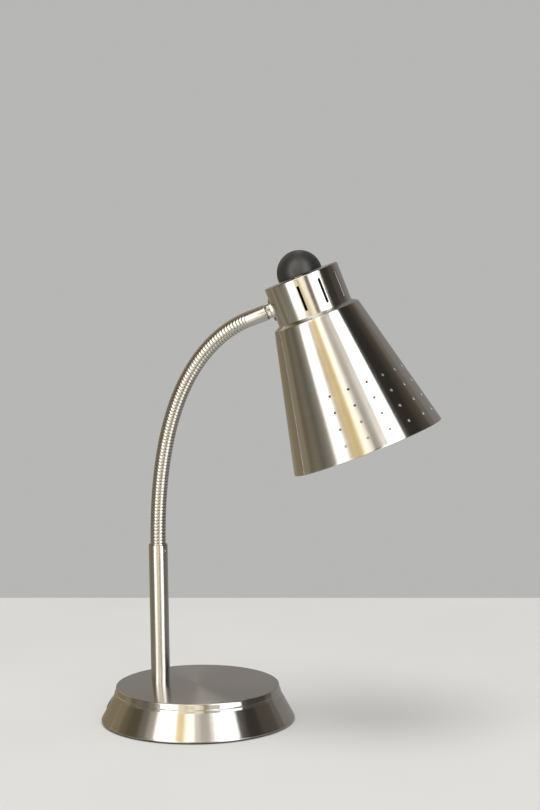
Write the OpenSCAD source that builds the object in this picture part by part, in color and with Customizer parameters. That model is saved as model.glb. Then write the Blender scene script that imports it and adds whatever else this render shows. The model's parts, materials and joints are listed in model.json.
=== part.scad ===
// Gooseneck desk lamp: a weighted round base, a short fixed pole, a flexible ribbed neck and a
// perforated cone shade under a vented cap, with a rotary switch knob on top.
// Millimetres. Origin: centre of the base's underside. +X points from the pole towards the shade.

/* [Base] */
// Diameter of the base at its foot
base_d = 162; // [140:1:200]
// Height of the base, from the table to its flat top
base_h = 30.5; // [28:0.5:40]
// How far the side flares out, from the flat top's edge to the foot, on each side
base_flare = 12.7; // [6:0.1:18]
// Height of the upright band under the flat top's edge
rim_band_h = 7; // [4:0.5:9]
// How far the upright band widens towards its lower edge
rim_band_step = 1.2; // [0:0.1:3]
// Radius of the rounded top edge
rim_edge_r = 1.2; // [0.5:0.1:2]
// Sheet thickness of the base cover
cover_t = 1.2; // [0.8:0.1:2]
// Thickness of the rubber pad
pad_t = 3; // [2:0.5:4]
// Height of pad that shows under the cover's edge
pad_show = 1.3; // [0.5:0.1:2]
// Height of the iron weight's top above the table
weight_top = 20; // [18:0.5:24]
// Radius of the dished hollow under the weight
dish_r = 56; // [40:1:60]
// Depth of the dished hollow
dish_h = 6; // [4:0.5:8]

/* [Cord outlet] */
// Height above the table at which the outlet leaves the flared side
outlet_z = 11; // [10:0.5:12]
// Bore of the outlet bushing
outlet_bore_d = 6.4; // [5:0.1:8]
// Outside diameter of the outlet bushing's barrel
outlet_d = 9.6; // [8.4:0.1:11]
// Outside diameter of the outlet bushing's collars
outlet_collar_d = 12.4; // [11.4:0.1:13]
// Thickness of the outlet bushing's collars
outlet_collar_t = 1.4; // [1:0.1:2]

/* [Pole] */
// Distance from the base's centre back to the pole's axis
pole_back = 32.15; // [20:0.05:45]
// Outside diameter of the pole
pole_d = 15.8; // [14.5:0.1:20]
// Wall of the pole
pole_wall = 1; // [0.8:0.1:1.2]
// Length of the pole above the base
pole_len = 118.6; // [80:0.1:180]
// Length of the threaded plug in the pole's foot
plug_len = 12; // [10:1:20]
// Outside diameter of the threaded pipes
pipe_d = 9.9; // [9:0.1:10.5]
// Bore of the threaded pipes
pipe_bore_d = 6.6; // [5.5:0.1:7]
// Width across the flats of the pipe nuts
nut_af = 15; // [13:0.5:16]
// Thickness of the pipe nuts
nut_h = 4; // [3:0.5:5]
// Diameter of the washer under the weight
washer_d = 26; // [20:1:30]
// Thickness of the washer under the weight
washer_t = 1.6; // [1:0.1:2]
// Thickness of the split lock washers
lock_t = 1.8; // [1:0.1:2.2]

/* [Neck] */
// Outside diameter of the flexible neck
neck_d = 12.8; // [11:0.1:13.6]
// Bore for the wires through the neck
neck_bore_d = 5; // [4:0.1:5.4]
// Flexible length, from the pole's top to the smooth ferrule
neck_len = 218.3; // [180:0.1:280]
// Depth of the neck's root inside the pole
root_depth = 24; // [15:1:30]
// Number of joints along the neck
neck_joints = 16; // [10:1:18]
// Distance from the pole's top to the first joint, and from the last joint to the ferrule
end_reach = 5; // [4:0.5:8]
// Bend of the neck that is spread evenly, in degrees
bend_even = 24; // [0:1:60]
// Further bend that gathers towards the shade, in degrees
bend_late = 44.6; // [0:0.1:60]
// How sharply the late bend gathers
bend_power = 3; // [1:0.5:4]
// Number of ribs on each link of the neck
ribs = 5; // [3:1:7]
// Depth of the grooves between the ribs
rib_depth = 0.45; // [0.2:0.05:0.6]
// Wall left between a link's outside and the ball at its top
ball_wall = 1.2; // [1:0.1:1.6]
// Gap between a ball and its socket
ball_gap = 0.1; // [0.05:0.01:0.2]
// How far each link's skirt reaches below the joint's centre
skirt = 1; // [0.5:0.1:1.5]
// Diameter of the set screw that holds the neck in the pole
set_screw_d = 3.5; // [3:0.1:4]
// Distance from the pole's top down to the set screw
set_screw_drop = 4.6; // [4:0.1:8]
// Turn of the set screw around the pole, from the shade's side
set_screw_turn = -25; // [-180:1:180]

/* [Neck end] */
// Length of the smooth ferrule at the neck's end
ferrule_len = 19.6; // [14:0.1:30]
// Outside diameter of the ferrule
ferrule_d = 12.9; // [12:0.1:15]
// Length of the knurled jam nut between ferrule and saddle
jam_h = 3.2; // [2.5:0.1:5]
// Diameter of the knurled jam nut
jam_d = 11.6; // [11:0.1:13]
// Diameter of the curved saddle washer
saddle_d = 19; // [15:0.5:22]
// Thickness of the saddle washer
saddle_t = 1.3; // [0.8:0.1:2]

/* [Cap] */
// Diameter of the vented cap
cap_d = 63; // [58:0.5:80]
// Height of the vented cap
cap_h = 32.6; // [32:0.1:40]
// Sheet thickness of the cap and the cone
shade_t = 0.9; // [0.6:0.1:1.2]
// Distance from the cap's top down to the neck's axis
arm_drop = 18; // [16:0.5:22]
// Number of vent slots
vent_count = 6; // [2:1:7]
// Angle from one vent slot to the next
vent_pitch = 34; // [25:1:40]
// Length of a vent slot
vent_len = 21; // [10:1:24]
// Width of a vent slot
vent_w = 2.3; // [1.5:0.1:4]
// Distance from the cap's top down to the vent slots
vent_drop = 6.5; // [4:0.5:8]

/* [Cone] */
// How far the cone's shoulder stands out beyond the cap
shoulder_out = 5.2; // [3:0.1:10]
// Drop of the shoulder, from the cap's lower edge to the cone's top
shoulder_drop = 3.1; // [2:0.1:5]
// Length of the cone along its axis
cone_len = 114.9; // [112:0.1:150]
// Diameter of the cone's mouth
mouth_d = 128.9; // [124:0.1:180]
// Height of the rolled hem at the mouth
hem_h = 1.6; // [1:0.1:3]
// Diameter of the small holes in the cone
hole_d = 2.3; // [1.5:0.1:4]
// Number of rows of small holes
hole_rows = 4; // [1:1:6]
// Distance between the rows, along the axis
hole_row_step = 13.75; // [8:0.25:16]
// Distance from the cap's top down to the first row, along the axis
hole_first = 97.4; // [60:0.1:100]
// Number of holes in a row
hole_columns = 11; // [3:1:15]
// Angle from one hole to the next
hole_pitch = 18; // [10:1:20]

/* [Socket] */
// Radius of the lamp socket's body
socket_r = 19; // [17:0.5:20]
// Length of the lamp socket, from its lid to its mouth
socket_len = 54.6; // [54:0.1:60]
// Thickness of the socket's lid
lid_h = 7.6; // [6:0.1:9]
// Radius of the switch chamber
chamber_r = 9.5; // [9:0.1:11]
// Depth of the switch chamber below the lid
chamber_h = 14; // [12:0.5:16]
// Thickness of the socket's flange that rests on the cone
flange_h = 3; // [2:0.5:4]
// Outside radius of the ring that clamps the cone
ring_r = 24.5; // [22:0.5:28]
// Height of the clamping ring
ring_h = 5.5; // [4:0.5:8]
// Inside radius of the screw shell
shell_r = 13.1; // [13:0.1:13.5]
// Wall of the screw shell
shell_t = 0.5; // [0.3:0.1:0.6]
// Radius of the switch bushing
bushing_r = 5.2; // [4.6:0.1:6]
// Radius of the switch shaft
shaft_r = 3; // [2.5:0.1:3.5]

/* [Knob] */
// Radius of the knob's dome
knob_r = 18.6; // [17:0.1:22]
// Height of the dome's centre above the cap
knob_centre = 2.4; // [1:0.1:6]
// Gap between the knob's rim and the cap
knob_gap = 0.6; // [0.3:0.1:1.5]
// Wall of the knob's rim
knob_wall = 2.6; // [2:0.1:4]

/* [Bulb] */
// Largest radius of the bulb
bulb_r = 30; // [25:1:32]
// Length of the bulb, from its contact to its tip
bulb_len = 108; // [100:1:112]
// Radius of the bulb's neck
bulb_neck_r = 11.7; // [11:0.1:11.8]
// Thickness of the bulb's glass
glass_t = 0.8; // [0.6:0.1:1.2]

/* [Fits] */
// Clearance between pieces that slip together
slip = 0.1; // [0.05:0.01:0.2]
// Running clearance of the switch shaft, on the radius
running = 0.05; // [0.02:0.01:0.1]
// Diameter of the lead wires
lead_d = 1.8; // [1.4:0.1:2.2]

/* [Hidden] */
links = neck_joints - 1;
round_fn = 96;
small_fn = 48;
past = 1; // how far a cut runs past the face that it opens

// Base
base_r = base_d / 2;
base_top_r = base_r - base_flare;
band_r = base_top_r + rim_band_step;
band_z = base_h - rim_band_h;
lip_h = 1.2;
flank_slope = (base_r - band_r) / (band_z - pad_show - lip_h);
flank_angle = atan(flank_slope);
flank_wall = cover_t * sqrt(1 + flank_slope * flank_slope);
weight_gap = 0.5;
pole_x = -pole_back;

// Radius of the cover's outside on its flank, at height z
function flank_r(z) = band_r + (band_z - z) * flank_slope;

// Stack under the pole: washer, lock washer and nut hang below the weight's seat
pipe_clear_r = pipe_d / 2 + 0.3;
recess_r = washer_d / 2 + 1.5;
seat_z = weight_top - 4;
washer_z = seat_z - washer_t;
lock_z = washer_z - lock_t;
nut_z = lock_z - nut_h;
pipe_z = nut_z - 0.8;
lead_pitch = 1.25;

// Pole and neck
pole_top = base_h + pole_len;
pole_bore_r = pole_d / 2 - pole_wall;
neck_r = neck_d / 2;
ball_r = neck_r - ball_wall;
link_len = (neck_len - 2 * end_reach) / links;
socket_ball_r = ball_r + ball_gap;
rim_swing = 2; // room for the skirt's edge when a joint bends
collar_z = -skirt - rim_swing; // top of a link's barrel, measured from the joint above it

// Angle of the neck from the vertical after joint i, and the joints' places as [x, z]
function bend_at(i) = bend_even * i / neck_joints + bend_late * pow(i / neck_joints, bend_power);
function along(i, d) = d * [sin(bend_at(i)), cos(bend_at(i))];
function joint_at(k) = k == 0 ? [pole_x, pole_top + end_reach] : joint_at(k - 1) + along(k, link_len);

// Head, measured from the centre of the cap's top: +Z up the shade's axis, -X towards the neck
cap_r = cap_d / 2;
arm_reach = end_reach + ferrule_len + jam_h + saddle_t + 0.4;
head_turn = bend_at(neck_joints) - 90;
cap_wall_at = joint_at(links) + along(neck_joints, arm_reach);
shoulder_r = cap_r + shoulder_out;
shoulder_z = -cap_h - shoulder_drop;
mouth_r = mouth_d / 2;
mouth_z = shoulder_z - cone_len;
cone_slope = (mouth_r - shoulder_r) / cone_len;
cone_angle = atan(cone_slope);
hem_t = shade_t + 0.5;
lid_top = -shade_t - 1.5;
body_top = lid_top - lid_h;
chamber_z = body_top - chamber_h;
shell_top = -cap_h - 0.4;
socket_mouth = lid_top - socket_len;
tip_z = shell_top - 1.6;
bulb_cap_top = tip_z - 4;
bulb_cap_end = socket_mouth - 2;
bulb_tip_z = tip_z - bulb_len;
bulb_centre = bulb_tip_z + bulb_r;
ring_bore_r = socket_r + 0.05;
pipe_inside = 7.6; // how far the head's pipe reaches into the cap

module at_link(i) {
    start = joint_at(i - 1);
    translate([start[0], 0, start[1]]) rotate([0, bend_at(i), 0]) children();
}

module at_head() {
    translate([cap_wall_at[0], 0, cap_wall_at[1]])
    rotate([0, head_turn, 0]) translate([cap_r, 0, arm_drop]) children();
}

// The neck's end axis, seen from the head: children's +Z runs into the cap, from its outer wall
module at_arm() {
    at_head() translate([-cap_r, 0, -arm_drop]) rotate([0, 90, 0]) children();
}

// Shared shapes
module tube(r_out, r_in, z0, z1, fn = round_fn) {
    translate([0, 0, z0]) difference() {
        cylinder(r = r_out, h = z1 - z0, $fn = fn);
        translate([0, 0, -past]) cylinder(r = r_in, h = z1 - z0 + 2 * past, $fn = fn);
    }
}

module disc(r, z0, z1, fn = round_fn) {
    translate([0, 0, z0]) cylinder(r = r, h = z1 - z0, $fn = fn);
}

module hex_nut(af, bore_r, z0, z1) {
    difference() {
        translate([0, 0, z0]) cylinder(r = af / sqrt(3), h = z1 - z0, $fn = 6);
        disc(bore_r, z0 - past, z1 + past, small_fn);
    }
}

module lock_washer(r_out, r_in, z0, z1) {
    gap = 1.2;
    difference() {
        tube(r_out, r_in, z0, z1, small_fn);
        translate([0, 0, (z0 + z1) / 2]) rotate([25, 0, 0])
        translate([0, -gap / 2, -lock_t * 2]) cube([r_out + past, gap, lock_t * 4]);
    }
}

// A round bar from point a to point b
module bar(a, b, r) {
    d = b - a;
    translate(a) rotate([0, acos(d[2] / norm(d)), atan2(d[1], d[0])])
    cylinder(r = r, h = norm(d), $fn = 24);
}

// A wire through a list of points, with an elbow ball a little thicker than the wire at each bend
module wire(points, r) {
    for (i = [0 : len(points) - 2]) bar(points[i], points[i + 1], r);
    for (i = [1 : 1 : len(points) - 2]) translate(points[i]) sphere(r = r * 1.08, $fn = 32);
}

// Base
module cover_outside() {
    rotate_extrude($fn = round_fn) polygon(concat(
        [[0, pad_show], [base_r, pad_show], [base_r, pad_show + lip_h], [band_r, band_z]],
        [for (a = [0 : 15 : 90]) [
            base_top_r - rim_edge_r * (1 - cos(a)),
            base_h - rim_edge_r * (1 - sin(a))
        ]],
        [[0, base_h]]
    ));
}

module base_cover() {
    color("silver") difference() {
        cover_outside();
        rotate_extrude($fn = round_fn) polygon([
            [0, pad_show - past],
            [base_r - flank_wall, pad_show - past],
            [base_r - flank_wall, pad_show + lip_h],
            [band_r - flank_wall, band_z],
            [base_top_r - flank_wall, base_h - cover_t],
            [0, base_h - cover_t]
        ]);
        translate([pole_x, 0, 0]) disc(pipe_clear_r, base_h / 2, base_h + past, small_fn);
        at_outlet() disc(outlet_d / 2 + slip, -cover_t * 3, past, small_fn);
    }
}

module base_weight() {
    low_r = flank_r(pad_t) - flank_wall - weight_gap;
    high_r = flank_r(weight_top) - flank_wall - weight_gap;
    channel_w = outlet_bore_d + 2;
    channel_h = outlet_z + 2 - pad_t;
    pocket_w = outlet_collar_d + 2;
    pocket_h = outlet_z + pocket_w / 2 - pad_t;
    pocket_x = flank_r(outlet_z) - flank_wall - 8;
    color("dimgray") difference() {
        translate([0, 0, pad_t])
        cylinder(r1 = low_r, r2 = high_r, h = weight_top - pad_t, $fn = round_fn);
        disc(dish_r, pad_t - past, pad_t + dish_h);
        translate([pole_x, 0, 0]) {
            disc(recess_r, pad_t - past, seat_z, small_fn);
            disc(pipe_clear_r, pad_t, weight_top + past, small_fn);
        }
        translate([-base_r, -channel_w / 2, pad_t - past]) cube([base_r / 2, channel_w, channel_h + past]);
        translate([-base_r, -pocket_w / 2, pad_t - past])
        cube([base_r - pocket_x, pocket_w, pocket_h + past]);
    }
}

module base_pad() {
    pad_r = flank_r(pad_t) - flank_wall - 0.3;
    color([0.06, 0.06, 0.06]) disc(pad_r, 0, pad_t);
}

// The outlet's axis, square to the flared side behind the pole: children's +Z leaves the base
module at_outlet() {
    translate([-flank_r(outlet_z), 0, outlet_z]) rotate([0, flank_angle - 90, 0]) children();
}

module cord_grommet() {
    seat_gap = 0.25; // the flat collars bear on a curved side
    inner_z = -cover_t - seat_gap - outlet_collar_t;
    outer_z = seat_gap / 2 + outlet_collar_t;
    color([0.09, 0.09, 0.09]) at_outlet() difference() {
        union() {
            disc(outlet_d / 2, inner_z, outer_z, small_fn);
            disc(outlet_collar_d / 2, inner_z, inner_z + outlet_collar_t, small_fn);
            disc(outlet_collar_d / 2, outer_z - outlet_collar_t, outer_z, small_fn);
        }
        disc(outlet_bore_d / 2, inner_z - past, outer_z + past, small_fn);
    }
}

// Two insulated wires, from behind the outlet bushing up through the pipe into the neck's root
module base_leads() {
    start_x = -flank_r(outlet_z) + cover_t + outlet_collar_t + 4;
    for (side = [-1, 1]) color(side > 0 ? "white" : [0.12, 0.12, 0.12]) wire([
        [start_x, side * lead_pitch, outlet_z - 2.2],
        [pole_x, side * lead_pitch, pipe_z - 1.5],
        [pole_x, side * lead_pitch, pole_top - root_depth + 6]
    ], lead_d / 2);
}

// Pole
module pole_tube() {
    color("silver") translate([pole_x, 0, 0]) difference() {
        tube(pole_d / 2, pole_bore_r, base_h, pole_top);
        set_screw_bore(set_screw_d / 2 + slip);
    }
}

module set_screw_bore(r) {
    translate([0, 0, pole_top - set_screw_drop]) rotate([0, 90, set_screw_turn])
    cylinder(r = r, h = pole_d, $fn = small_fn);
}

module pole_plug() {
    color("gray") translate([pole_x, 0, 0])
    tube(pole_bore_r - slip, pipe_d / 2 + slip / 2, base_h, base_h + plug_len);
}

module pole_pipe() {
    color("goldenrod") translate([pole_x, 0, 0])
    tube(pipe_d / 2, pipe_bore_d / 2, pipe_z, base_h + plug_len, small_fn);
}

module pole_washer() {
    color("lightgray") translate([pole_x, 0, 0])
    tube(washer_d / 2, pipe_d / 2 + slip, washer_z, seat_z, small_fn);
}

module pole_lock_washer() {
    color("darkgray") translate([pole_x, 0, 0])
    lock_washer(pipe_d / 2 + 3, pipe_d / 2 + slip, lock_z, washer_z);
}

module pole_nut() {
    color("goldenrod") translate([pole_x, 0, 0])
    hex_nut(nut_af, pipe_d / 2 + slip / 2, nut_z, lock_z);
}

// Split sleeve that fills the gap between the neck's root and the pole
module neck_sleeve() {
    top_drop = 0.6;
    slit = 2;
    color("gray") translate([pole_x, 0, 0]) difference() {
        tube(pole_bore_r - slip / 2, neck_r + slip / 2, pole_top - root_depth, pole_top - top_drop);
        set_screw_bore(set_screw_d / 2 + slip);
        translate([-pole_d, -slit / 2, pole_top - root_depth - past])
        cube([pole_d, slit, root_depth + 2 * past]);
    }
}

module neck_set_screw() {
    key_d = 1.8;
    screw_len = pole_d / 2 - neck_r - slip;
    color("lightgray") translate([pole_x, 0, pole_top - set_screw_drop])
    rotate([0, 90, set_screw_turn]) translate([0, 0, neck_r + slip]) difference() {
        cylinder(r = set_screw_d / 2, h = screw_len, $fn = small_fn);
        translate([0, 0, screw_len / 2]) cylinder(r = key_d / sqrt(3), h = screw_len, $fn = 6);
    }
}

// Neck. Each link is drawn along +Z, from the joint below it at 0 to the joint above it
function rib_points(z0, z1, count) = [
    for (i = [0 : count - 1], p = [[0, 1], [0.3, 0], [0.7, 0], [1, 1]])
        [neck_r - p[1] * rib_depth, z0 + (z1 - z0) * (i + p[0]) / count]
];

module ribbed_barrel(z0, z1, count) {
    rotate_extrude($fn = small_fn) polygon(concat([[0, z0]], rib_points(z0, z1, count), [[0, z1]]));
}

module ball_socket() {
    sphere(r = socket_ball_r, $fn = small_fn);
}

module ball_top(z) {
    crown = sqrt(ball_r * ball_r - neck_bore_d * neck_bore_d / 4 - 4);
    intersection() {
        translate([0, 0, z]) sphere(r = ball_r, $fn = small_fn);
        disc(neck_d, z + collar_z - past, z + crown, small_fn);
    }
}

module wire_bore(z0, z1) {
    disc(neck_bore_d / 2, z0, z1, small_fn);
}

module neck_root() {
    color("lightgray") translate([pole_x, 0, pole_top]) difference() {
        union() {
            disc(neck_r, -root_depth, end_reach + collar_z, small_fn);
            ball_top(end_reach);
        }
        wire_bore(-root_depth - past, end_reach + ball_r + past);
    }
}

module neck_link(i) {
    color("lightgray") at_link(i) difference() {
        union() {
            ribbed_barrel(-skirt, link_len + collar_z, ribs);
            ball_top(link_len);
        }
        ball_socket();
        wire_bore(0, link_len + ball_r + past);
    }
}

module neck_ferrule() {
    round_r = 2;
    smooth_r = ferrule_d / 2;
    end_z = end_reach + ferrule_len;
    thread_depth = 9;
    color("lightgray") at_link(neck_joints) difference() {
        union() {
            ribbed_barrel(-skirt, end_reach, 2);
            rotate_extrude($fn = round_fn) polygon(concat(
                [[0, end_reach], [smooth_r - 0.3, end_reach], [smooth_r, end_reach + 0.4]],
                [for (a = [0 : 15 : 90]) [
                    smooth_r - round_r * (1 - cos(a)), end_z - round_r * (1 - sin(a))
                ]],
                [[0, end_z]]
            ));
        }
        ball_socket();
        wire_bore(0, end_z + past);
        disc(pipe_d / 2 + slip / 2, end_z - thread_depth, end_z + past, small_fn);
    }
}

// Fixing of the neck to the cap
module jam_nut() {
    teeth = 20;
    tooth_r = 0.45;
    z0 = -saddle_t - 0.4 - jam_h;
    color("lightgray") at_arm() difference() {
        disc(jam_d / 2, z0, z0 + jam_h, small_fn);
        disc(pipe_d / 2 + slip / 2, z0 - past, z0 + jam_h + past, small_fn);
        for (i = [0 : teeth - 1]) rotate([0, 0, i * 360 / teeth])
        translate([jam_d / 2 + 0.1, 0, z0 - past]) cylinder(r = tooth_r, h = jam_h + 2 * past, $fn = 6);
    }
}

module saddle_washer() {
    color([0.45, 0.44, 0.42]) at_head() difference() {
        intersection() {
            translate([0, 0, -arm_drop]) rotate([0, -90, 0]) disc(saddle_d / 2, cap_r / 2, cap_r + saddle_t + 0.4);
            disc(cap_r + saddle_t + 0.3, -arm_drop - saddle_d, -arm_drop + saddle_d);
        }
        disc(cap_r + 0.05, -arm_drop - saddle_d - past, -arm_drop + saddle_d + past);
        translate([0, 0, -arm_drop]) rotate([0, -90, 0]) disc(pipe_d / 2 + slip, 0, cap_d, small_fn);
    }
}

module head_pipe() {
    color("goldenrod") at_arm()
    tube(pipe_d / 2, pipe_bore_d / 2, -saddle_t - jam_h - 8.5, pipe_inside, small_fn);
}

module head_lock_washer() {
    inside = shade_t + 0.9;
    color("darkgray") at_arm() lock_washer(pipe_d / 2 + 2.2, pipe_d / 2 + slip, inside, inside + lock_t);
}

module head_nut() {
    inside = shade_t + 0.9 + lock_t;
    color("goldenrod") at_arm() hex_nut(13, pipe_d / 2 + slip / 2, inside, inside + 3);
}

// Cap and cone
module shade_cap() {
    edge = 1;
    color("silver") at_head() difference() {
        rotate_extrude($fn = round_fn) polygon(concat(
            [[0, -shade_t], [0, 0]],
            [for (a = [90 : -15 : 0]) [cap_r - edge * (1 - cos(a)), -edge * (1 - sin(a))]],
            [[cap_r, -cap_h], [cap_r - shade_t, -cap_h], [cap_r - shade_t, -shade_t]]
        ));
        disc(bushing_r + slip, -cap_h / 2, past, small_fn);
        for (i = [0 : vent_count - 1]) rotate([0, 0, (i - (vent_count - 1) / 2) * vent_pitch])
        translate([cap_r / 2, -vent_w / 2, -vent_drop - vent_len]) cube([cap_r, vent_w, vent_len]);
        translate([0, 0, -arm_drop]) rotate([0, -90, 0]) disc(pipe_d / 2 + slip, cap_r / 2, cap_d, small_fn);
    }
}

module shade_cone() {
    ring_hole_r = socket_r + slip;
    wall = shade_t * sqrt(1 + cone_slope * cone_slope);
    hem_top = mouth_z + hem_h;
    color("silver") at_head() difference() {
        rotate_extrude($fn = round_fn) polygon([
            [ring_hole_r, -cap_h],
            [cap_r + 0.2, -cap_h],
            [shoulder_r - 0.5, shoulder_z + 0.25],
            [shoulder_r, shoulder_z],
            [mouth_r, mouth_z],
            [mouth_r - hem_t, mouth_z],
            [mouth_r - hem_h * cone_slope - hem_t, hem_top],
            [mouth_r - hem_h * cone_slope - wall, hem_top + 0.5],
            [shoulder_r - wall, shoulder_z - shade_t],
            [cap_r - 0.4, -cap_h - shade_t],
            [ring_hole_r, -cap_h - shade_t]
        ]);
        for (row = [0 : hole_rows - 1]) {
            z = -hole_first - row * hole_row_step;
            r = shoulder_r + (shoulder_z - z) * cone_slope;
            for (i = [0 : hole_columns - 1]) rotate([0, 0, (i - (hole_columns - 1) / 2) * hole_pitch])
            translate([r, 0, z]) rotate([0, 90 - cone_angle, 0])
            translate([0, 0, -3]) cylinder(r = hole_d / 2, h = 6, $fn = 24);
        }
    }
}

// Lamp socket and switch
module socket_ring() {
    grips = 24;
    top = -cap_h - shade_t;
    color([0.1, 0.1, 0.1]) at_head() difference() {
        tube(ring_r, ring_bore_r, top - ring_h, top);
        for (i = [0 : grips - 1]) rotate([0, 0, i * 360 / grips])
        translate([ring_r + 0.5, 0, top - ring_h - past]) cylinder(r = 1.1, h = ring_h - 1, $fn = 16);
    }
}

module socket_lid() {
    color([0.08, 0.08, 0.08]) at_head() tube(socket_r - 1, bushing_r + slip / 2, body_top, lid_top);
}

module socket_body() {
    mouth_out_r = shell_r + shell_t + 3;
    ring_end = -cap_h - shade_t - ring_h - 2;
    terminal_z = -arm_drop - 6;
    color([0.08, 0.08, 0.08]) at_head() difference() {
        union() {
            disc(socket_r, ring_end, body_top);
            disc(socket_r + 3.5, -cap_h, -cap_h + flange_h);
            disc(mouth_out_r, socket_mouth, ring_end + past);
        }
        disc(chamber_r, chamber_z, body_top + past);
        disc(shell_r + shell_t + slip, socket_mouth - past, shell_top);
        disc(2, shell_top - past, chamber_z + past, small_fn);
        for (side = [-1, 1]) translate([0, side * 6, terminal_z]) rotate([0, -90, 0])
        disc(1.5, chamber_r + 3, socket_r + past, 24);
    }
}

module socket_shell() {
    thread = 0.35;
    turns = 6;
    top = shell_top - slip;
    low = socket_mouth + 1;
    pitch = (top - shell_t - low) / turns;
    outer = [for (i = [0 : turns - 1], p = [[0, 0], [0.5, 1]])
        [shell_r + shell_t - p[1] * thread, low + (i + p[0]) * pitch]];
    inner = [for (i = [turns - 1 : -1 : 0], p = [[0.5, 1], [0, 0]])
        [shell_r - p[1] * thread, low + (i + p[0]) * pitch]];
    color("goldenrod") at_head() rotate_extrude($fn = small_fn) polygon(concat(
        outer,
        [[shell_r + shell_t, top], [4.2, top], [4.2, top - shell_t], [shell_r, top - shell_t]],
        inner
    ));
}

module socket_contact() {
    rivet_len = shell_top - chamber_z;
    color("goldenrod") at_head() {
        disc(3.6, shell_top - 1.6, shell_top, small_fn);
        disc(1.9, shell_top, chamber_z, small_fn);
    }
}

module terminal_screws() {
    z = -arm_drop - 6;
    head_x = sqrt(socket_r * socket_r - 16) + 0.4;
    color("goldenrod") at_head() for (side = [-1, 1]) translate([0, side * 6, z]) rotate([0, -90, 0]) {
        disc(1.4, chamber_r + 4, head_x + 0.5, 24);
        disc(2.2, head_x, head_x + 1.4, 24);
    }
}

// Two insulated wires from the head's pipe to the terminal screws
module head_leads() {
    screw_x = sqrt(socket_r * socket_r - 16) + 1.8;
    end_x = -screw_x - lead_d / 2 - 0.05;
    for (side = [-1, 1]) color(side > 0 ? "white" : [0.12, 0.12, 0.12]) at_head() wire([
        [-cap_r - 8, side * lead_pitch, -arm_drop],
        [end_x - 0.8, side * lead_pitch, -arm_drop],
        [end_x, side * 6, -arm_drop - 4.5],
        [end_x, side * 6, -arm_drop - 7]
    ], lead_d / 2);
}

module switch_bushing() {
    color("lightgray") at_head() {
        tube(bushing_r, shaft_r + running, body_top + 1, -shade_t - 1.5, small_fn);
        tube(bushing_r + 2.8, shaft_r + running, -shade_t - 1.5, -shade_t, small_fn);
        tube(bushing_r, shaft_r + running, -shade_t, 2.6, small_fn);
    }
}

module bushing_nut() {
    color("lightgray") at_head() hex_nut(13, bushing_r + slip / 2, 0, 2);
}

module switch_contact() {
    color("goldenrod") at_head() translate([chamber_r - 1, -2, chamber_z]) cube([0.6, 4, 6]);
}

module switch_cam() {
    color("white") at_head() difference() {
        union() {
            disc(5.4, chamber_z + 1.2, chamber_z + 5.2, small_fn);
            for (turn = [0, 180]) rotate([0, 0, turn + 90]) translate([0, -1.5, chamber_z + 1.2]) cube([7.4, 3, 4]);
        }
        disc(shaft_r + slip / 2, chamber_z, chamber_z + 6, small_fn);
    }
}

module switch_shaft() {
    top = knob_centre + knob_r - 8;
    color("lightgray") at_head() difference() {
        disc(shaft_r, chamber_z + 0.4, top, small_fn);
        translate([shaft_r - 0.8, -shaft_r, top - 7]) cube([2, 2 * shaft_r, 8]);
    }
}

// Knob: a dome that is hollow round the bushing's nut, with a hub on the shaft
module switch_knob() {
    hub_r = 7;
    hub_z = 3.4;
    hollow_z = 7.5;
    color([0.05, 0.05, 0.05]) at_head() difference() {
        intersection() {
            translate([0, 0, knob_centre]) sphere(r = knob_r, $fn = round_fn);
            disc(knob_r + past, knob_gap, knob_centre + knob_r + past);
        }
        difference() {
            disc(knob_r - knob_wall, 0, hollow_z);
            disc(hub_r, hub_z, hollow_z + past);
        }
        disc(shaft_r + slip / 2, 0, knob_centre + knob_r - 7.5, small_fn);
        knob_screw_bore(1.6);
    }
}

module knob_screw_bore(r) {
    translate([0, 0, 10.2]) rotate([-90, 0, 0]) cylinder(r = r, h = knob_r + past, $fn = 24);
}

module knob_screw() {
    color("dimgray") at_head() translate([0, shaft_r + slip, 10.2]) rotate([-90, 0, 0]) difference() {
        cylinder(r = 1.5, h = 6, $fn = 24);
        translate([0, 0, 4]) cylinder(r = 0.9, h = 3, $fn = 6);
    }
}

// Bulb
// Half outline of the glass, from its tip up to where the neck ends; shrink gives the inner face
function bulb_points(shrink) =
    let(
        r = bulb_r - shrink,
        neck = bulb_neck_r - shrink,
        leave = 35,
        taper_z = bulb_centre + r * sin(leave) + (r * cos(leave) - neck) / tan(leave)
    )
    concat(
        [for (a = [-90 : 5 : leave]) [r * cos(a), bulb_centre + r * sin(a)]],
        [[neck, taper_z], [neck, bulb_cap_end + 8]]
    );

module bulb_glass() {
    inner = bulb_points(glass_t);
    color([1, 1, 1, 0.6]) at_head() rotate_extrude($fn = round_fn)
    polygon(concat(bulb_points(0), [for (i = [len(inner) - 1 : -1 : 0]) inner[i]]));
}

module bulb_cap() {
    thread = 0.3;
    turns = 6;
    r = shell_r - 0.45;
    pitch = (bulb_cap_top - bulb_cap_end) / (turns + 1);
    outer = [for (i = [1 : turns], p = [[0, 0], [0.5, 1]])
        [r - p[1] * thread, bulb_cap_end + (i + p[0]) * pitch]];
    color("silver") at_head() difference() {
        rotate_extrude($fn = small_fn) polygon(concat(
            [[0, bulb_cap_end], [r, bulb_cap_end]],
            outer,
            [[r - 0.6, bulb_cap_top], [0, bulb_cap_top]]
        ));
        disc(bulb_neck_r + 0.05, bulb_cap_end - past, bulb_cap_top - 1.2, small_fn);
        disc(8, bulb_cap_top - 2, bulb_cap_top + past, small_fn);
    }
}

module bulb_insulator() {
    color([0.05, 0.05, 0.06]) at_head() translate([0, 0, bulb_cap_top])
    cylinder(r1 = 11.5, r2 = 5, h = 2.6, $fn = small_fn);
}

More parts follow.
